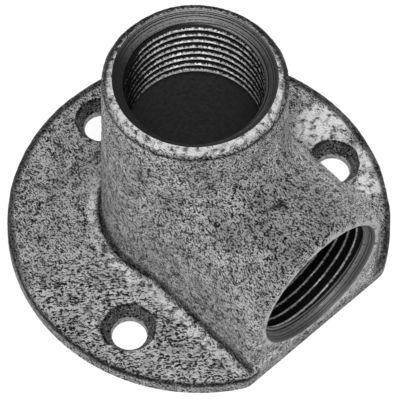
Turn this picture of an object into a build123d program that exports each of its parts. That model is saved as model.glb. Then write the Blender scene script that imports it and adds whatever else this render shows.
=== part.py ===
from build123d import *
import os
from math import atan2, degrees

# Wall elbow: a malleable iron pipe elbow cast in one piece with its round wall plate.
# Millimetres, +Z up. The origin is the centre of the plate's back face, which lies in z = 0.
# The tower with the upper outlet stands along +Z. The side outlet opens towards +X, in the
# plane of the flat that is cut across the plate.

# Female pipe thread, 3/4 inch parallel. The bores are left at the crest, ready for tapping.
thread_crest_radius = 12.06
thread_ridge_height = 1.16

# Wall plate
plate_radius = 36.4
plate_thickness = 4.0
plate_corner_round = 4.0

# Screw holes, each a funnel above a short straight land
screw_hole_radius = 3.2
screw_funnel_radius = 4.75
screw_land_height = 1.3
screw_inset = 8.4
screw_angles = (-70.0, 70.0, 180.0)

# Tower with the upper outlet
tower_setback = 1.2
tower_height = 47.2
tower_wall = 3.15
tower_flare = 1.4
rim_step_height = 1.3
rim_step_depth = 0.3
rim_taper = 0.7

# Side body with the side outlet
side_reach = 32.0
side_lift = 1.18
side_wall = 3.0
side_flare = 0.4

# Machined mouths, thread lengths and the cored passage
upper_lip = 1.65
side_lip = 2.6
mouth_chamfer_depth = 2.6
upper_thread_depth = 16.3
side_thread_depth = 15.0
core_clearance = 0.5

# Casting radii
saddle_round = 7.0
foot_round = 1.8
edge_round = 1.8

# Sizes that follow
thread_root_radius = thread_crest_radius + thread_ridge_height
tower_radius = thread_root_radius + tower_wall
rim_radius = tower_radius - rim_step_depth
side_radius = thread_root_radius + side_wall
side_axis_height = side_radius + side_lift
upper_mouth_radius = rim_radius - upper_lip
side_mouth_radius = side_radius - side_lip
core_radius = thread_crest_radius + core_clearance
tower_x = -tower_setback
screw_circle_radius = plate_radius - screw_inset
side_body_length = 2 * plate_radius


def mouth_angle(mouth_radius):
    """Full angle, in degrees, of the cone that opens a bore out to its mouth."""
    return 2 * degrees(atan2(mouth_radius - thread_crest_radius, mouth_chamfer_depth))


# Core of the passage: the run down the tower to the floor, and the run out to the side
with BuildPart() as core:
    with BuildSketch(Plane((tower_x, 0, side_axis_height - core_radius))):
        Circle(core_radius)
    extrude(amount=tower_height - upper_thread_depth - side_axis_height + core_radius)
    with BuildSketch(Plane((tower_x, 0, side_axis_height), z_dir=(1, 0, 0))):
        Circle(core_radius)
    extrude(amount=side_reach - side_thread_depth - tower_x)

with BuildPart() as casting:
    # Tower, turned about its own axis and a little wider towards the plate
    with BuildSketch(Plane.XZ):
        with BuildLine():
            Polyline(
                (tower_x, 0),
                (tower_x + tower_radius + tower_flare, 0),
                (tower_x + tower_radius, tower_height - rim_step_height),
                (tower_x + rim_radius, tower_height - rim_step_height),
                (tower_x + rim_radius - rim_taper, tower_height),
                (tower_x, tower_height),
                close=True,
            )
        make_face()
    revolve(axis=Axis((tower_x, 0, 0), (0, 0, 1)))

    # Side body: walls that stand nearly parallel under a round arch, run past the plate for now
    with BuildSketch(Plane.YZ):
        with BuildLine():
            CenterArc((0, side_axis_height), side_radius, 0, 360)
            Line((-side_radius - side_flare, 0), (side_radius + side_flare, 0))
        make_hull()
    extrude(amount=side_body_length)

    # Saddle where the arch runs into the tower
    saddle = casting.edges(Select.NEW)
    fillet(saddle, saddle_round)

    # Plate blank, larger than its outline so that the foot fillet keeps its full width
    with BuildSketch(Plane.XY):
        Circle(side_body_length)
    extrude(amount=plate_thickness)
    foot = (
        casting.edges()
        .filter_by_position(Axis.Z, plate_thickness, plate_thickness)
        .filter_by(lambda edge: edge.distance_to(Vertex(0, 0, plate_thickness)) < plate_radius)
    )
    fillet(foot, foot_round)

    # One outline trims plate and side body, so the outlet's face is flush with the flat
    with BuildSketch(Plane.XY) as outline:
        Circle(plate_radius)
        with Locations((side_reach, 0)):
            Rectangle(
                plate_radius,
                2 * plate_radius,
                align=(Align.MIN, Align.CENTER),
                mode=Mode.SUBTRACT,
            )
        fillet(outline.vertices().group_by(Axis.X)[-1], plate_corner_round)
    extrude(amount=tower_height, mode=Mode.INTERSECT)

    # One soft edge runs round the plate, up the corners and over the arch
    skirt = casting.faces().filter_by(
        lambda face: face.bounding_box().min.Z < plate_thickness / 2 < face.bounding_box().max.Z
    )
    soft_edge = skirt.edges().filter_by(lambda edge: edge.bounding_box().min.Z > plate_thickness / 2)
    fillet(soft_edge, edge_round)

    # Cored passage between the threads
    add(core.part, mode=Mode.SUBTRACT)

    # Bores for the two threads, each with a wide turned mouth
    with Locations(Plane((tower_x, 0, tower_height))):
        CounterSinkHole(
            radius=thread_crest_radius,
            counter_sink_radius=upper_mouth_radius,
            depth=upper_thread_depth,
            counter_sink_angle=mouth_angle(upper_mouth_radius),
        )
    with Locations(Plane((side_reach, 0, side_axis_height), z_dir=(1, 0, 0))):
        CounterSinkHole(
            radius=thread_crest_radius,
            counter_sink_radius=side_mouth_radius,
            depth=side_thread_depth,
            counter_sink_angle=mouth_angle(side_mouth_radius),
        )

    # Screw holes, from the front of the plate
    screw_funnel_angle = 2 * degrees(
        atan2(screw_funnel_radius - screw_hole_radius, plate_thickness - screw_land_height)
    )
    for angle in screw_angles:
        with Locations(Plane.XY.offset(plate_thickness)):
            with PolarLocations(screw_circle_radius, 1, start_angle=angle):
                CounterSinkHole(
                    radius=screw_hole_radius,
                    counter_sink_radius=screw_funnel_radius,
                    depth=plate_thickness,
                    counter_sink_angle=screw_funnel_angle,
                )

casting.part.label = "casting"
os.makedirs("parts", exist_ok=True)
export_step(casting.part, "parts/casting.step")
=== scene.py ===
from math import cos, pi, radians, sin, tau

import bmesh
import bpy
import numpy as np
from mathutils import Matrix, Vector, kdtree, noise


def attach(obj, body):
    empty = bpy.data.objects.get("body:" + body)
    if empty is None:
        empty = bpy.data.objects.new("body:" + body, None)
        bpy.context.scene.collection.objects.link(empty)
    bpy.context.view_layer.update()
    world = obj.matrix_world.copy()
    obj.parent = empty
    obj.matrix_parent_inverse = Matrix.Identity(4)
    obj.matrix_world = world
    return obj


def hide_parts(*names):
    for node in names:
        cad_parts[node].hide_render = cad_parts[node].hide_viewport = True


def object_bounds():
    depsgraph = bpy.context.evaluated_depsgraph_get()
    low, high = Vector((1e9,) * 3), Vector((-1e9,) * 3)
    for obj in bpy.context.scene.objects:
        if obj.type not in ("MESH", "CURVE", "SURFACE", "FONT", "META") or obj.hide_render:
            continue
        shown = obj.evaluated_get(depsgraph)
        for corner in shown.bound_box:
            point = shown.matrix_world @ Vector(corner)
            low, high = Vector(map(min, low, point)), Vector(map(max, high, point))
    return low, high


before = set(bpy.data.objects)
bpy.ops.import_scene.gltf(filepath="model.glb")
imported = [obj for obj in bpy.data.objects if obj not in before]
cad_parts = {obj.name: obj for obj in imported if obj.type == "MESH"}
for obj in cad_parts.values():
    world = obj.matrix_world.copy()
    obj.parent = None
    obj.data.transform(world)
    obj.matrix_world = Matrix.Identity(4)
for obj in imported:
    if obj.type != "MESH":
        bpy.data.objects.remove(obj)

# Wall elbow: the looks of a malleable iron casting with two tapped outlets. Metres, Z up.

cad_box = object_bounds()
MM = 0.001

# Sizes of the casting in millimetres, as in the CAD model
PLATE_RADIUS = 36.4
PLATE_TOP = 4.0
SCREW_CIRCLE = 28.0
SCREW_ANGLES = (-70.0, 70.0, 180.0)
SCREW_HOLE = 3.2
SCREW_FUNNEL = 4.75
SCREW_LAND = 1.3
TOWER_X = -1.2
TOWER_TOP = 47.2
TOWER_RADIUS = 16.37
TOWER_FLARE = 1.4
RIM_STEP = 1.3
SIDE_FACE = 32.0
SIDE_AXIS = 17.4
SIDE_WALL = 16.4
THREAD_CREST = 12.06
THREAD_ROOT = 13.22
THREAD_PITCH = 1.814
CORE_RADIUS = 12.56
MOUTH_DEPTH = 2.6
UPPER_MOUTH = 14.42
UPPER_THREAD = 16.3
SIDE_MOUTH = 13.62
SIDE_THREAD = 15.0

# Depths below the two mouths at which a crest of the thread stands, at the cutters' angle 0
UPPER_CREST = 4.3
SIDE_CREST = 3.0

# How much wider than drawn the mouths, the threads and the screw holes are cut, and how far the
# cored passage is cut on into the threads, so that no film of metal is left between them
MOUTH_EASE = 0.02
THREAD_EASE = 0.04
HOLE_EASE = 0.03
CORE_OVERLAP = 0.05

# Spacing of the even mesh that carries the cast skin, how near to the foot's sharp outline its
# points are pulled back onto that outline, and how much wider than the mouths and how deep the plugs
# are that keep the mouths flush until they are cut
SKIN_SPACING = 0.5
FOOT_REACH = 0.4
PLUG_MARGIN = 0.5
PLUG_DEPTH = 12.0

# The side of the elbow that faces the key light, towards which painted highlights grow and away from
# which painted shade grows, and the way the sand ripples lie on it
LIT_SIDE = Vector((0.728, -0.685, 0.0))
RIPPLE_TURN = radians(46.8)

# Marks of this one casting: a blow hole, a scratch beside it, the height of the painted shade line
# along the plate's edge, and bright spots on the plate, each with its x, its y and how far it spreads
BLOW_HOLE = Vector((22.36, -1.02, 33.55))
BLOW_HOLE_RADIUS = 0.6
SCRATCH_START = Vector((21.6, -1.5, 33.42))
SCRATCH_END = Vector((20.6, -4.1, 32.97))
SCRATCH_RADIUS = 0.22
EDGE_SHADE_HEIGHT = 2.7
BRIGHT_SPOTS = ((1.9, 30.7, 4.6), (12.6, 30.9, 2.5), (17.8, 27.6, 2.5))


# Meshes

def new_piece(name, mesh):
    """A new object in the scene that shows a mesh."""
    piece = bpy.data.objects.new(name, mesh)
    bpy.context.scene.collection.objects.link(piece)
    return piece


def apply_modifiers(piece):
    """Put what a piece's modifiers make into its mesh."""
    shown = bpy.context.evaluated_depsgraph_get()
    mesh = bpy.data.meshes.new_from_object(piece.evaluated_get(shown))
    piece.modifiers.clear()
    piece.data = mesh


def turned_cutter(name, radius_at, heights, steps, place):
    """Closed solid about a local Z axis whose radius depends on the angle and the height."""
    bm = bmesh.new()
    rings = []
    for height in heights:
        ring = []
        for step in range(steps):
            angle = tau * step / steps
            radius = radius_at(angle, height)
            ring.append(bm.verts.new((radius * cos(angle) * MM, radius * sin(angle) * MM, height * MM)))
        rings.append(ring)
    for low, high in zip(rings, rings[1:]):
        for step in range(steps):
            after = (step + 1) % steps
            bm.faces.new((low[step], low[after], high[after], high[step]))
    ends = [bm.faces.new(reversed(rings[0])), bm.faces.new(rings[-1])]
    bmesh.ops.triangulate(bm, faces=ends)
    mesh = bpy.data.meshes.new(name)
    bm.to_mesh(mesh)
    bm.free()
    mesh.transform(place)
    return new_piece(name, mesh)


def combine(piece, other, operation):
    """Cut one closed solid out of another, or join it on, and drop the second."""
    tool = piece.modifiers.new("combine", "BOOLEAN")
    tool.object = other
    tool.operation = operation
    tool.solver = "MANIFOLD"
    apply_modifiers(piece)
    bpy.data.objects.remove(other)


def even_skin(name, node, plugs, voxel):
    """A copy of a CAD node as one even mesh, which is solid inside. Plugs keep its mouths flush."""
    piece = new_piece(name, node.data.copy())
    piece.data.materials.clear()
    bm = bmesh.new()
    bm.from_mesh(piece.data)
    bmesh.ops.remove_doubles(bm, verts=bm.verts, dist=1e-7)
    bm.to_mesh(piece.data)
    bm.free()
    for radius, place in plugs:
        plug = turned_cutter("plug", lambda angle, height: radius, (-PLUG_DEPTH, 0.0), 96, place)
        combine(piece, plug, "UNION")
    remesh = piece.modifiers.new("even mesh", "REMESH")
    remesh.mode = "VOXEL"
    remesh.voxel_size = voxel * MM
    apply_modifiers(piece)
    return piece


def ease(low, high, values):
    """Smooth step from 0 at low to 1 at high, for a number or an array."""
    t = np.clip((values - low) / (high - low), 0, 1)
    return t * t * (3 - 2 * t)


def grain(point, size, seed=0.0):
    """Noise of about -1 to 1 whose lumps are about that many millimetres across."""
    return noise.noise(point / size + Vector((seed, seed * 0.7, -seed)))


def mesh_places(mesh):
    """Places of the mesh's points in millimetres, one row each."""
    places = np.empty(len(mesh.vertices) * 3)
    mesh.vertices.foreach_get("co", places)
    return places.reshape(-1, 3) / MM


def crisp_foot(piece, node, reach):
    """Pull the points near the sharp outline on which the node stands back onto that outline."""
    bm = bmesh.new()
    bm.from_mesh(node.data)
    bmesh.ops.remove_doubles(bm, verts=bm.verts, dist=1e-7)
    outline = []
    for edge in bm.edges:
        start, end = (vert.co for vert in edge.verts)
        if max(start.z, end.z) < 1e-6 and edge.is_manifold and edge.calc_face_angle() > radians(60):
            steps = max(1, round(edge.calc_length() / (0.05 * MM)))
            outline += [start.lerp(end, step / steps) for step in range(steps)]
    bm.free()
    tree = kdtree.KDTree(len(outline))
    for number, point in enumerate(outline):
        tree.insert(point, number)
    tree.balance()
    for vert in piece.data.vertices:
        near, _, distance = tree.find(vert.co)
        if distance < reach * MM:
            vert.co = near


# The casting: even skin, sand-cast relief, then the passage, the bores and the holes cut crisp

upper_place = Matrix.Translation(Vector((TOWER_X, 0, TOWER_TOP)) * MM)
side_place = Matrix.Translation(Vector((SIDE_FACE, 0, SIDE_AXIS)) * MM) @ Matrix.Rotation(pi / 2, 4, "Y")
plugs = ((UPPER_MOUTH + PLUG_MARGIN, upper_place), (SIDE_MOUTH + PLUG_MARGIN, side_place))
elbow = even_skin("elbow_casting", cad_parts["casting"], plugs, SKIN_SPACING)
crisp_foot(elbow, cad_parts["casting"], FOOT_REACH)


def relief(p):
    """How far, in millimetres, the cast skin lies inside the drawn surface, in swells and sand grains."""
    swell = 0.11 * grain(p, 9.0, 3.1) + 0.07 * grain(p, 3.4, 8.7)
    sand = 0.055 * grain(p, 1.5, 1.9) + 0.035 * grain(p, 0.9, 5.3)
    return max(0.0, 0.11 + swell + sand)


# The relief fades out at the foot, and is shallower at the two outlets' faces
places = mesh_places(elbow.data)
normals = np.empty(places.size)
elbow.data.vertices.foreach_get("normal", normals)
inward = np.array([relief(Vector(place)) for place in places])
inward *= ease(0.25, 0.8, places[:, 2])
inward *= 0.35 + 0.65 * ease(0.1, 0.9, TOWER_TOP - places[:, 2])
inward *= 0.35 + 0.65 * ease(0.1, 0.9, SIDE_FACE - places[:, 0])
places -= normals.reshape(-1, 3) * inward[:, None]
places = np.clip(places, np.array(cad_box[0]) / MM, np.array(cad_box[1]) / MM)
elbow.data.vertices.foreach_set("co", (places * MM).ravel())
elbow.data.update()


# Cored passage and tapped bores

def thread_wave(turns):
    """Form of an inch pipe thread: 0 on the crest, 1 in the root, both a little rounded."""
    tooth = abs((turns % 1.0) * 2 - 1)
    return 0.35 * float(ease(0.06, 0.94, 1 - tooth)) + 0.65 * min(1.0, max(0.0, (0.92 - tooth) / 0.84))


def bore_cutter(name, mouth_radius, depth, crest_at, place):
    """Tapped bore with its turned mouth. Local Z points out of the mouth, whose face is at 0."""
    def radius_at(angle, height):
        below = -height
        mouth = mouth_radius + MOUTH_EASE - (mouth_radius - THREAD_CREST) * below / MOUTH_DEPTH
        turns = (below - crest_at) / THREAD_PITCH - angle / tau
        runout = float(ease(depth, depth - 2.0, below))
        root = CORE_RADIUS + (THREAD_ROOT - CORE_RADIUS) * runout
        thread = THREAD_CREST + THREAD_EASE + (root - THREAD_CREST) * thread_wave(turns)
        return max(mouth, thread)
    # Rows 0.13 mm apart, fourteen to a turn of the thread
    rows = int(depth / 0.13)
    heights = [-depth * (1 - row / rows) for row in range(rows)] + [0.0, 0.8]
    return turned_cutter(name, radius_at, heights, 128, place)


def core_cutter(name, start, end, place):
    """Cored run between two heights along the local Z axis of its mouth."""
    return turned_cutter(name, lambda angle, height: CORE_RADIUS, (start, end), 128, place)


core_floor = SIDE_AXIS - CORE_RADIUS - TOWER_TOP
for cutter in (
        core_cutter("upper_core", core_floor, CORE_OVERLAP - UPPER_THREAD, upper_place),
        core_cutter("side_core", TOWER_X - SIDE_FACE, CORE_OVERLAP - SIDE_THREAD, side_place),
        bore_cutter("upper_bore", UPPER_MOUTH, UPPER_THREAD, UPPER_CREST, upper_place),
        bore_cutter("side_bore", SIDE_MOUTH, SIDE_THREAD, SIDE_CREST, side_place)):
    combine(elbow, cutter, "DIFFERENCE")


# Screw holes: the land is clean, the funnel above it is rough

def funnel_radius(seed):
    """Radius of one screw hole against angle and height, different for each seed."""
    def radius_at(angle, height):
        if height <= SCREW_LAND:
            return SCREW_HOLE + HOLE_EASE
        p = Vector((cos(angle) * 4, sin(angle) * 4, height))
        slope = (SCREW_FUNNEL - SCREW_HOLE) / (PLATE_TOP - SCREW_LAND)
        rough = 0.22 * grain(p, 1.6, seed) + 0.16 * grain(p, 0.8, seed)
        return SCREW_HOLE + 0.28 + slope * (height - SCREW_LAND) + rough
    return radius_at


screw_centres = [
    Vector((SCREW_CIRCLE * cos(radians(angle)), SCREW_CIRCLE * sin(radians(angle)), 0))
    for angle in SCREW_ANGLES
]
funnel_heights = [-0.5, 0.0, 0.65, SCREW_LAND, SCREW_LAND + 0.02]
funnel_heights += [1.6 + 0.3 * row for row in range(10)]
for number, centre in enumerate(screw_centres):
    hole_place = Matrix.Translation(centre * MM)
    cutter = turned_cutter("hole_cutter", funnel_radius(number * 5.0), funnel_heights, 64, hole_place)
    combine(elbow, cutter, "DIFFERENCE")


# A blow hole on top of the side body, with the scratch that runs away from it

def spindle_cutter(start, end, thickness):
    """Slim spindle between two points, which cuts a groove that fades at both ends."""
    length = (end - start).length
    rows = 9
    heights = [length * row / (rows - 1) for row in range(rows)]
    place = Matrix.Translation(start * MM) @ (end - start).to_track_quat("Z", "Y").to_matrix().to_4x4()
    return turned_cutter(
        "spindle_cutter",
        lambda angle, height: 0.01 + thickness * sin(pi * height / length) ** 0.6,
        heights, 12, place)


pit_bottom = BLOW_HOLE - Vector((0, 0, 0.7))
pit_top = BLOW_HOLE + Vector((0, 0, 0.5))
combine(elbow, spindle_cutter(pit_bottom, pit_top, BLOW_HOLE_RADIUS), "DIFFERENCE")
combine(elbow, spindle_cutter(SCRATCH_START, SCRATCH_END, SCRATCH_RADIUS), "DIFFERENCE")

# Smooth all over but for the edges that were cut
for polygon in elbow.data.polygons:
    polygon.use_smooth = True
elbow.data.set_sharp_from_angle(angle=radians(35))


# Where the surface has painted shade, dark marks, wear, painted highlights or cuts, written on the
# mesh for the finishes to read

mesh = elbow.data
places = mesh_places(mesh)
x, y, z = places.T
tower_distance = np.hypot(x - TOWER_X, y)
side_distance = np.hypot(y, z - SIDE_AXIS)
plate_distance = np.hypot(x, y)
# 1 on the lit side of the tower or the plate, -1 on the far side
tower_lit = ((x - TOWER_X) * LIT_SIDE.x + y * LIT_SIDE.y) / np.maximum(tower_distance, 0.1)
plate_lit = (x * LIT_SIDE.x + y * LIT_SIDE.y) / np.maximum(plate_distance, 0.1)
on_front = np.abs(z - PLATE_TOP) < 0.8
on_port = x > SIDE_FACE - 0.5


def write_values(name, values):
    """Keep one number for each point of the casting's mesh under a name."""
    layer = mesh.attributes.new(name, "FLOAT", "POINT")
    layer.data.foreach_set("value", np.asarray(values, dtype=np.float32))


# Painted shade in the crease at the foot: sharp against the plate, fading up the wall, weakest on the
# far side, with a painted highlight on a bead beside it
tower_foot = tower_distance - (TOWER_RADIUS + TOWER_FLARE * (1 - z / TOWER_TOP))
foot = np.minimum(tower_foot, np.where(x > 0, np.abs(y) - SIDE_WALL, 99))
outside = (foot > -1.2) & (x < SIDE_FACE - 0.4)
crease_width = 0.3 + 0.35 * (1 - ease(-14, 4, x))
on_plate = 1 - ease(crease_width, crease_width + 0.3, foot)
up_wall = 1 - ease(0.8, 4.6, z - PLATE_TOP)
crease_shade = outside * np.where(foot > 0.35, on_plate, 0.9 * up_wall) * (z > PLATE_TOP - 0.3)
dark_marks_and_shade = crease_shade * (0.25 + 0.75 * ease(-0.45, -0.05, tower_lit))
bead_highlight_and_hole_rings = outside * ease(crease_width + 0.3, crease_width + 0.7, foot)
bead_highlight_and_hole_rings *= (1 - ease(2.2, 3.6, foot)) * (z > PLATE_TOP - 0.4)

# Funnels of the screw holes, darkened and more so towards the top, each with a bright ring round it
for centre in screw_centres:
    hole_distance = np.hypot(x - centre.x, y - centre.y)
    funnel = (hole_distance < 5.3) & (z > SCREW_LAND + 0.01) & (z < PLATE_TOP - 0.15)
    dark_marks_and_shade = np.maximum(dark_marks_and_shade, funnel * (0.75 + 0.25 * ease(3.0, 3.8, z)))
    around = 0.7 * np.exp(-((hole_distance - 5.4) / 0.4) ** 2) * on_front
    bead_highlight_and_hole_rings = np.maximum(bead_highlight_and_hole_rings, around)

# Painted shade in a ring round the blow hole, and the scratch beside it darkened
on_arch = z > 32
hole_distance = np.hypot(x - BLOW_HOLE.x, y - BLOW_HOLE.y)
dark_marks_and_shade = np.maximum(dark_marks_and_shade, (hole_distance > 0.35) & (hole_distance < BLOW_HOLE_RADIUS + 0.15) & on_arch)
scratch = (SCRATCH_END - SCRATCH_START).to_2d()
scratch_way = scratch.normalized()
from_start_x = x - SCRATCH_START.x
from_start_y = y - SCRATCH_START.y
along = np.clip(from_start_x * scratch_way.x + from_start_y * scratch_way.y, 0, scratch.length)
scratch_distance = np.hypot(from_start_x - scratch_way.x * along, from_start_y - scratch_way.y * along)
dark_marks_and_shade = np.maximum(dark_marks_and_shade, 0.8 * (scratch_distance < SCRATCH_RADIUS + 0.04) * on_arch)

# Edge of the plate: a painted shade line where its rounding starts, painted shade on the side below
# it, and painted shade over the rounding, widest on the far side and none on the lit side
edge_shade_line = (plate_distance > PLATE_RADIUS - 1.2) * np.exp(-((z - EDGE_SHADE_HEIGHT) / 0.6) ** 2)
dark_marks_and_shade = np.maximum(dark_marks_and_shade, np.minimum(1, 1.4 * edge_shade_line))
dark_marks_and_shade = np.maximum(dark_marks_and_shade, 0.45 * (plate_distance > PLATE_RADIUS - 0.8) * (z < EDGE_SHADE_HEIGHT - 0.1))
roll_start = PLATE_RADIUS - 1.7 - 0.7 * (1 - ease(-0.7, 0.1, plate_lit))
rolled_shade = ease(0.0, 0.6, plate_distance - roll_start) * (z > 2.0)
dark_marks_and_shade = np.maximum(dark_marks_and_shade, 0.85 * rolled_shade * (1 - ease(0.25, 0.7, plate_lit)))

# Rim: painted shadow under the step, painted shade on the outer shoulder that is widest on the far side
# and none on the lit side, and a worn bright top with a painted highlight towards the lit side
step_shadow = np.exp(-((z - TOWER_TOP + RIM_STEP + 0.15) / 0.28) ** 2)
step_shadow *= tower_distance > TOWER_RADIUS - 0.47
dark_marks_and_shade = np.maximum(dark_marks_and_shade, step_shadow)
shoulder_start = UPPER_MOUTH + 0.04 + 0.94 * ease(-0.6, 0.3, tower_lit)
shoulder_shade = ease(0.0, 0.15, tower_distance - shoulder_start) * ease(1.4, 0.9, TOWER_TOP - z)
dark_marks_and_shade = np.maximum(dark_marks_and_shade, shoulder_shade * (1 - ease(0.0, 0.7, tower_lit)))
rim = ease(TOWER_TOP - 1.2, TOWER_TOP - 0.6, z) * (tower_distance > UPPER_MOUTH - 0.1)
wear_and_highlight = rim * (0.6 + 0.3 * ease(-0.6, 0.6, tower_lit))

# Bright worn iron in spots on the plate; painted highlights on the bead by the foot, on the upper part
# of the side mouth's lip and round the side mouth on its face; and bright rings round the screw holes
for centre_x, centre_y, spread in BRIGHT_SPOTS:
    spot = np.exp(-((x - centre_x) ** 2 + (y - centre_y) ** 2) / spread ** 2)
    wear_and_highlight = np.maximum(wear_and_highlight, np.minimum(1, 1.8 * spot) * on_front)
wear_and_highlight = np.maximum(wear_and_highlight, 0.6 * bead_highlight_and_hole_rings)
lip = ease(SIDE_FACE - 0.9, SIDE_FACE - 0.3, x) * (1 - ease(14.3, 14.8, side_distance))
lip *= side_distance > SIDE_MOUTH - 0.12
wear_and_highlight = np.maximum(wear_and_highlight, lip * ease(-4.0, 2.0, z - SIDE_AXIS - 0.6 * y))
port_highlight = on_port * (1 - ease(14.5, 17.0, side_distance)) * ease(-6.0, 2.0, y)
wear_and_highlight = np.maximum(wear_and_highlight, 0.7 * port_highlight)

# Painted shade over all that stands above the plate, half as much on the rim's top, and more of it low
# on the side outlet's face
dark_marks_and_shade = np.maximum(dark_marks_and_shade, 0.27 * ease(PLATE_TOP + 1, PLATE_TOP + 3, z) * (1 - 0.5 * rim))
dark_marks_and_shade = np.maximum(dark_marks_and_shade, 0.5 * on_port * ease(5.5, 1.0, z))

# Sand ripples on the front of the plate
ripple = ease(0.1, 0.7, plate_lit) * on_front * (foot > 1.0)
write_values("dark_marks_and_shade", dark_marks_and_shade)
write_values("wear_and_highlight", wear_and_highlight)
write_values("ripple", ripple)

# How deep each point of the bores lies, and how far out from crest to root
upper_depth = TOWER_TOP - z
side_depth = SIDE_FACE - x
in_upper = (tower_distance < UPPER_MOUTH + 0.06) & (upper_depth < UPPER_THREAD + 0.12)
in_side = (side_distance < SIDE_MOUTH + 0.06) & (side_depth < SIDE_THREAD + 0.12) & (x > 12)
bore_distance = np.where(in_upper, tower_distance, side_distance)
bore_depth = np.where(in_upper, upper_depth, side_depth)
write_values("depth", bore_depth)
write_values("root", np.clip((bore_distance - THREAD_CREST) / (THREAD_ROOT - THREAD_CREST), 0, 1))
# Painted shade on the walls of the upper bore, none on the far wall and most of all on the left; the
# side bore is darkened by given amounts, most of all on the outer part of its mouth
tower_right = ((x - TOWER_X) * -LIT_SIDE.y + y * LIT_SIDE.x) / np.maximum(tower_distance, 0.1)
upper_bore_shade = (1 - ease(0.2, 0.9, -tower_lit)) * (0.95 - 0.35 * ease(-0.5, 0.7, tower_right))
side_bore_darkening = np.where(side_depth < MOUTH_DEPTH, 0.5 * (1 - ease(1.2, 1.6, side_depth)), 0.2)
write_values("bore_darkening", np.where(in_upper, upper_bore_shade, side_bore_darkening))

# Which finish each face has
CAST, MOUTH, THREAD, CORE, LAND = range(5)
corner_count = np.empty(len(mesh.polygons), dtype=int)
mesh.polygons.foreach_get("loop_total", corner_count)
corner = np.empty(len(mesh.loops), dtype=int)
mesh.loops.foreach_get("vertex_index", corner)
face_start = np.concatenate(([0], np.cumsum(corner_count)[:-1]))


def all_of(mask):
    """For each face, whether all its corners are in the mask."""
    return np.minimum.reduceat(mask[corner].astype(int), face_start).astype(bool)


mouth_radius = np.where(in_upper, UPPER_MOUTH, SIDE_MOUTH)
cone = mouth_radius + MOUTH_EASE - (mouth_radius - THREAD_CREST) * bore_depth / MOUTH_DEPTH
tapped = (in_upper | in_side) & (bore_distance > THREAD_CREST - 0.02)
core_reach = CORE_RADIUS + 0.34
inside_core = (tower_distance < core_reach) & (z < TOWER_TOP - UPPER_THREAD + 0.1) & (z > 4.3)
inside_core |= (side_distance < core_reach) & (x < SIDE_FACE - SIDE_THREAD + 0.1) & (x > TOWER_X)
land = np.zeros(len(places), dtype=bool)
for centre in screw_centres:
    hole_distance = np.hypot(x - centre.x, y - centre.y)
    land |= (hole_distance < SCREW_HOLE + 0.3) & (z < SCREW_LAND + 0.03)
finish = np.full(len(mesh.polygons), CAST)
finish[all_of(tapped)] = THREAD
finish[all_of(tapped & (bore_distance > cone - 0.012) & (bore_depth < MOUTH_DEPTH + 0.1))] = MOUTH
finish[all_of(inside_core)] = CORE
finish[all_of(land)] = LAND


# Finishes

def colour(code):
    """Linear colour of an sRGB hex code."""
    parts = [int(code[i:i + 2], 16) / 255 for i in (1, 3, 5)]
    return [c / 12.92 if c <= 0.04045 else ((c + 0.055) / 1.055) ** 2.4 for c in parts] + [1.0]


def add(tree, kind, sockets=(), stops=(), **settings):
    """Add one node with its settings. Sockets holds values and outputs to link.

    Stops holds a ramp's places and colours, from low to high. Sockets that share a name go by
    number: 2 and 3 are a mix's numbers, 6 and 7 its colours, and 1 to 4 a range's ends, in and out.
    """
    made = tree.nodes.new(kind)
    for key, value in settings.items():
        setattr(made, key, value)
    for key, value in dict(sockets).items():
        if isinstance(value, bpy.types.NodeSocket):
            tree.links.new(value, made.inputs[key])
        else:
            made.inputs[key].default_value = value
    for number, (place, code) in enumerate(stops):
        if number > 1:
            made.color_ramp.elements.new(place)
        made.color_ramp.elements[number].position = place
        made.color_ramp.elements[number].color = colour(code)
    return made


def new_finish(name):
    """An empty node material and its coordinates in millimetres."""
    finish = bpy.data.materials.new(name)
    finish.use_nodes = True
    tree = finish.node_tree
    tree.nodes.clear()
    where = add(tree, "ShaderNodeTexCoord")
    mm = add(tree, "ShaderNodeVectorMath", {
        0: where.outputs["Object"], "Scale": 1 / MM}, operation="SCALE")
    return finish, tree, mm.outputs[0]


# Malleable iron as it leaves the sand mould: a scale skin of sharp light and dark grains, drawn out
# along the ripples, over lumps of 1 mm and clouds of 4 mm, with pits. The grains and pits are toned
# from the same heights as the bump, partly as painted shade in their hollows and painted light on
# their tops. Painted shade darkens the creases and other places the mesh marks, and wear and painted
# highlights brighten spots. The grains of real moulding sand, about 0.15 mm across, are too fine to
# show, so they are drawn 0.2 mm wide and 0.3 to 0.5 mm long.
cast_iron, tree, mm = new_finish("sand_cast_malleable_iron")
along_ripples = (0, 0, RIPPLE_TURN)
laid = add(tree, "ShaderNodeMapping", {
    "Vector": mm, "Rotation": along_ripples, "Scale": (1.15, 0.62, 1.0)}, vector_type="TEXTURE")
long_laid = add(tree, "ShaderNodeMapping", {
    "Vector": mm, "Rotation": along_ripples, "Scale": (1.2, 0.58, 1.2)}, vector_type="TEXTURE")
sand = add(tree, "ShaderNodeTexNoise", {
    "Vector": laid.outputs[0], "Scale": 3.7, "Detail": 1.0})
across_ripples = (0.5, 0.3, RIPPLE_TURN - radians(50))
slanted = add(tree, "ShaderNodeMapping", {
    "Vector": mm, "Rotation": across_ripples, "Scale": (2.0, 0.75, 1.2)}, vector_type="TEXTURE")
strokes = add(tree, "ShaderNodeTexNoise", {
    "Vector": slanted.outputs[0], "Scale": 3.9, "Detail": 0.0, "Distortion": 0.5})
lumps = add(tree, "ShaderNodeTexNoise", {"Vector": mm, "Scale": 0.9, "Detail": 2.0, "Roughness": 0.5})
waves = add(tree, "ShaderNodeTexNoise", {
    "Vector": long_laid.outputs[0], "Scale": 2.0, "Detail": 1.0, "Roughness": 0.5, "Distortion": 0.5})
clouds = add(tree, "ShaderNodeTexNoise", {"Vector": mm, "Scale": 0.25, "Detail": 3.0})
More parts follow.
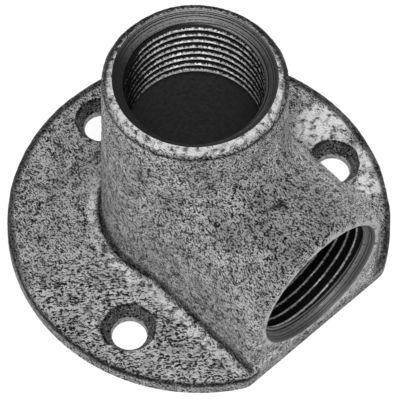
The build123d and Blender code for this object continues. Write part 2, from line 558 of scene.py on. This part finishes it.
grains = add(tree, "ShaderNodeMix", {"Factor": 0.45, 2: sand.outputs[0], 3: strokes.outputs[0]})
skin_height = add(tree, "ShaderNodeMix", {"Factor": 0.2, 2: grains.outputs[0], 3: lumps.outputs[0]})
ripple_amount = add(tree, "ShaderNodeAttribute", attribute_name="ripple")
ripple_share = add(tree, "ShaderNodeMath", {
    0: ripple_amount.outputs["Fac"], 1: 0.55}, operation="MULTIPLY")
height = add(tree, "ShaderNodeMix", {
    "Factor": ripple_share.outputs[0], 2: skin_height.outputs[0], 3: waves.outputs[0]})
# Grain tones from the bump's heights: dark hollows and light tops, partly painted shade and light
tones = add(tree, "ShaderNodeValToRGB", {0: height.outputs[0]}, stops=(
    (0.45, "#060606"), (0.468, "#606060"), (0.487, "#a8a8a8"), (0.503, "#f8f8f8")))
cloud_tone = add(tree, "ShaderNodeMapRange", {0: clouds.outputs[0], 1: 0.3, 2: 0.7, 3: 0.75, 4: 1.35})
# Pits painted darker, as shade in the low lumps
pit_shade = add(tree, "ShaderNodeMapRange", {0: lumps.outputs[0], 1: 0.34, 2: 0.42, 3: 0.5, 4: 1.0})
skin_tone = add(tree, "ShaderNodeMath", {
    0: cloud_tone.outputs[0], 1: pit_shade.outputs[0]}, operation="MULTIPLY")
skin = add(tree, "ShaderNodeVectorMath", {
    0: tones.outputs[0], "Scale": skin_tone.outputs[0]}, operation="SCALE")
wear_and_highlight_amount = add(tree, "ShaderNodeAttribute", attribute_name="wear_and_highlight")
wear_and_highlight_edge = add(tree, "ShaderNodeMath", {
    0: wear_and_highlight_amount.outputs["Fac"], 1: lumps.outputs[0], 2: -0.1}, operation="MULTIPLY_ADD")
wear_and_highlight_spread = add(tree, "ShaderNodeMapRange", {
    0: wear_and_highlight_edge.outputs[0], 1: 0.0, 2: 0.4, 3: 0.0, 4: 0.95})
smoothed = add(tree, "ShaderNodeMix", {"Factor": 0.55, 2: height.outputs[0], 3: lumps.outputs[0]})
worn_and_highlit_tones = add(tree, "ShaderNodeValToRGB", {0: smoothed.outputs[0]}, stops=(
    (0.34, "#404040"), (0.39, "#8c8c8c"), (0.45, "#bababa"), (0.52, "#d4d4d4")))
# Worn iron and painted highlights brighten the skin where the mesh says so
worn_and_highlit = add(tree, "ShaderNodeMix", {
    "Factor": wear_and_highlight_spread.outputs[0], 6: skin.outputs[0], 7: worn_and_highlit_tones.outputs[0]}, data_type="RGBA")
dark_marks_and_shade_amount = add(tree, "ShaderNodeAttribute", attribute_name="dark_marks_and_shade")
flakes = add(tree, "ShaderNodeMapRange", {0: lumps.outputs[0], 1: 0.35, 2: 0.6, 3: 0.75, 4: 1.15})
dark_marks_and_shade_share = add(tree, "ShaderNodeMath", {
    0: dark_marks_and_shade_amount.outputs["Fac"], 1: flakes.outputs[0]}, operation="MULTIPLY", use_clamp=True)
gloss = add(tree, "ShaderNodeMapRange", {
    0: dark_marks_and_shade_amount.outputs["Fac"], 1: 0.0, 2: 1.0, 3: 0.5, 4: 0.05})
# Painted shade and dark marks darken the skin where the mesh says so
marked_and_shaded = add(tree, "ShaderNodeMix", {
    "Factor": dark_marks_and_shade_share.outputs[0], 6: worn_and_highlit.outputs[2], 7: colour("#3c3c3c")},
    data_type="RGBA", blend_type="MULTIPLY")
bump_share = add(tree, "ShaderNodeMapRange", {
    0: wear_and_highlight_spread.outputs[0], 1: 0.0, 2: 1.0, 3: 1.0, 4: 0.35})
bump = add(tree, "ShaderNodeBump", {
    "Height": height.outputs[0], "Distance": 0.006, "Strength": bump_share.outputs[0]})
surface = add(tree, "ShaderNodeBsdfPrincipled", {
    "Base Color": marked_and_shaded.outputs[2], "Metallic": 0.35, "Roughness": 0.6,
    "Specular IOR Level": gloss.outputs[0], "Normal": bump.outputs[0]})
add(tree, "ShaderNodeOutputMaterial", {"Surface": surface.outputs[0]})

# Malleable iron turned on the lathe: dull grey with rings round the bore, each a dark cut with a
# bright burr beside it. A real feed of about 0.1 mm a turn is too fine to show, so the rings are
# drawn 0.2 mm wide.
turned_iron, tree, mm = new_finish("turned_malleable_iron")
depth = add(tree, "ShaderNodeAttribute", attribute_name="depth")
bore_darkening = add(tree, "ShaderNodeAttribute", attribute_name="bore_darkening")
rings = add(tree, "ShaderNodeTexNoise", {
    "W": depth.outputs["Fac"], "Scale": 5.6, "Detail": 0.0}, noise_dimensions="1D")
specks = add(tree, "ShaderNodeTexNoise", {"Vector": mm, "Scale": 3.5, "Detail": 1.0})
ring_mix = add(tree, "ShaderNodeMix", {"Factor": 0.3, 2: rings.outputs[0], 3: specks.outputs[0]})
ring_tones = add(tree, "ShaderNodeValToRGB", {0: ring_mix.outputs[0]}, stops=(
    (0.46, "#020202"), (0.499, "#b8b8b8"), (0.501, "#707070")))
# Darker where the mesh says so: painted shade on the upper bore's walls, and given darkening in the side
# bore
darkened = add(tree, "ShaderNodeMix", {
    "Factor": bore_darkening.outputs["Fac"], 6: ring_tones.outputs[0], 7: colour("#222222")}, data_type="RGBA")
bump = add(tree, "ShaderNodeBump", {"Height": ring_mix.outputs[0], "Distance": 0.0002, "Strength": 0.5})
surface = add(tree, "ShaderNodeBsdfPrincipled", {
    "Base Color": darkened.outputs[2], "Metallic": 0.5, "Roughness": 0.5, "Normal": bump.outputs[0]})
add(tree, "ShaderNodeOutputMaterial", {"Surface": surface.outputs[0]})

# Malleable iron cut with a tap: bright crests, torn in chips of about 0.4 mm, with roots painted black
# as shade, darker still where the mesh darkens the bore
tapped_iron, tree, mm = new_finish("tapped_malleable_iron")
root = add(tree, "ShaderNodeAttribute", attribute_name="root")
bore_darkening = add(tree, "ShaderNodeAttribute", attribute_name="bore_darkening")
chips = add(tree, "ShaderNodeTexNoise", {"Vector": mm, "Scale": 2.4, "Detail": 2.0, "Roughness": 0.6})
chip_shift = add(tree, "ShaderNodeMapRange", {0: chips.outputs[0], 1: 0.3, 2: 0.7, 3: -0.14, 4: 0.14})
chipped = add(tree, "ShaderNodeMath", {
    0: root.outputs["Fac"], 1: chip_shift.outputs[0]}, operation="ADD")
root_with_darkening = add(tree, "ShaderNodeMath", {
    0: bore_darkening.outputs["Fac"], 1: 0.3, 2: chipped.outputs[0]}, operation="MULTIPLY_ADD")
thread_tones = add(tree, "ShaderNodeValToRGB", {0: root_with_darkening.outputs[0]}, stops=(
    (0.0, "#cccccc"), (0.17, "#9c9c9c"), (0.3, "#1a1a1a")))
darkening_share = add(tree, "ShaderNodeMath", {0: bore_darkening.outputs["Fac"], 1: 0.5}, operation="MULTIPLY")
darkened = add(tree, "ShaderNodeMix", {
    "Factor": darkening_share.outputs[0], 6: thread_tones.outputs[0], 7: colour("#161616")}, data_type="RGBA")
bump = add(tree, "ShaderNodeBump", {"Height": chips.outputs[0], "Distance": 0.0002, "Strength": 0.5})
surface = add(tree, "ShaderNodeBsdfPrincipled", {
    "Base Color": darkened.outputs[2], "Metallic": 0.5, "Roughness": 0.5,
    "Specular IOR Level": 0.0, "Normal": bump.outputs[0]})
add(tree, "ShaderNodeOutputMaterial", {"Surface": surface.outputs[0]})

# Malleable iron as the baked sand core left it, in the passage: black and dull, in lumps of 0.8 mm
cored_iron, tree, mm = new_finish("cored_malleable_iron")
sand = add(tree, "ShaderNodeTexNoise", {"Vector": mm, "Scale": 1.2, "Detail": 3.0})
core_tones = add(tree, "ShaderNodeValToRGB", {0: sand.outputs[0]}, stops=(
    (0.3, "#222222"), (0.7, "#343434")))
bump = add(tree, "ShaderNodeBump", {"Height": sand.outputs[0], "Distance": 0.0004, "Strength": 0.2})
surface = add(tree, "ShaderNodeBsdfPrincipled", {
    "Base Color": core_tones.outputs[0], "Metallic": 0.0, "Roughness": 0.9,
    "Specular IOR Level": 0.4, "Normal": bump.outputs[0]})
add(tree, "ShaderNodeOutputMaterial", {"Surface": surface.outputs[0]})

# Malleable iron punched clean, in the land of the screw holes: smooth, in lighter and darker grey
# patches of 0.7 mm
punched_iron, tree, mm = new_finish("punched_malleable_iron")
patches = add(tree, "ShaderNodeTexNoise", {"Vector": mm, "Scale": 1.5, "Detail": 3.0})
land_tones = add(tree, "ShaderNodeValToRGB", {0: patches.outputs[0]}, stops=(
    (0.3, "#5a5a5a"), (0.7, "#a2a2a2")))
bump = add(tree, "ShaderNodeBump", {"Height": patches.outputs[0], "Distance": 0.0001, "Strength": 0.5})
surface = add(tree, "ShaderNodeBsdfPrincipled", {
    "Base Color": land_tones.outputs[0], "Metallic": 0.5, "Roughness": 0.5, "Normal": bump.outputs[0]})
add(tree, "ShaderNodeOutputMaterial", {"Surface": surface.outputs[0]})

# In the order of CAST, MOUTH, THREAD, CORE and LAND
mesh.materials.clear()
for made in (cast_iron, turned_iron, tapped_iron, cored_iron, punched_iron):
    mesh.materials.append(made)
mesh.polygons.foreach_set("material_index", finish.astype(np.int32))
mesh.update()
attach(elbow, "root")
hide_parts("casting")


# Floor, light and camera

floor_mesh = bpy.data.meshes.new("floor")
bm = bmesh.new()
bmesh.ops.create_grid(bm, x_segments=1, y_segments=1, size=2.0)
bm.to_mesh(floor_mesh)
bm.free()
floor = new_piece("floor", floor_mesh)
floor.location.z = -0.02 * MM
# Matt white paper, which the camera and the bright iron see mostly as its own plain white, and
# which still shows a soft shadow round the elbow
paper, tree, _ = new_finish("white_paper")
diffuse = add(tree, "ShaderNodeBsdfDiffuse", {"Color": colour("#fafafa")})
glow = add(tree, "ShaderNodeEmission", {"Color": colour("#ffffff"), "Strength": 1.0})
path = add(tree, "ShaderNodeLightPath")
seen = add(tree, "ShaderNodeMath", {
    0: path.outputs["Is Camera Ray"], 1: path.outputs["Is Glossy Ray"]}, operation="MAXIMUM")
part_seen = add(tree, "ShaderNodeMath", {0: seen.outputs[0], 1: 0.8}, operation="MULTIPLY")
both = add(tree, "ShaderNodeMixShader", {
    0: part_seen.outputs[0], 1: diffuse.outputs[0], 2: glow.outputs[0]})
add(tree, "ShaderNodeOutputMaterial", {"Surface": both.outputs[0]})
floor.data.materials.append(paper)

# Even light from all round, at a quarter of the plain white that the camera sees there
studio = bpy.data.worlds.new("studio")
bpy.context.scene.world = studio
studio.use_nodes = True
tree = studio.node_tree
tree.nodes.clear()
path = add(tree, "ShaderNodeLightPath")
level = add(tree, "ShaderNodeMapRange", {0: path.outputs["Is Camera Ray"], 3: 0.25, 4: 1.0})
sky = add(tree, "ShaderNodeBackground", {"Color": colour("#ffffff"), "Strength": level.outputs[0]})
add(tree, "ShaderNodeOutputWorld", {"Surface": sky.outputs[0]})


def softbox(name, toward, distance, size, power):
    """Square soft lamp that shines at the middle of the elbow."""
    lamp = bpy.data.lights.new(name, "AREA")
    lamp.energy = power
    lamp.size = size
    place = bpy.data.objects.new(name, lamp)
    place.location = Vector(toward).normalized() * distance
    place.rotation_euler = Vector(toward).to_track_quat("Z", "Y").to_euler()
    bpy.context.scene.collection.objects.link(place)


softbox("key_softbox", toward=(0.24, -0.226, 0.94), distance=0.8, size=0.3, power=7.2)

# The camera, where the photograph's stood
azimuth, elevation, roll = radians(46.756), radians(58.821), radians(0.480)
target = Vector((-1.0278, 1.2255, 5.0)) * MM
distance = 411.886 * MM
right = Vector((cos(azimuth), sin(azimuth), 0))
back = Vector((sin(azimuth) * cos(elevation), -cos(azimuth) * cos(elevation), sin(elevation)))
up = back.cross(right)
tilted_right = cos(roll) * right + sin(roll) * up
tilted_up = -sin(roll) * right + cos(roll) * up
eye = target + back * distance
lens = bpy.data.cameras.new("camera")
lens.sensor_width = 36
lens.lens = 196.318
lens.clip_start = 0.01
camera = bpy.data.objects.new("camera", lens)
camera.matrix_world = Matrix((
    (tilted_right.x, tilted_up.x, back.x, eye.x),
    (tilted_right.y, tilted_up.y, back.y, eye.y),
    (tilted_right.z, tilted_up.z, back.z, eye.z),
    (0, 0, 0, 1),
))
bpy.context.scene.collection.objects.link(camera)
bpy.context.scene.camera = camera
bpy.context.scene.view_settings.view_transform = "Standard"
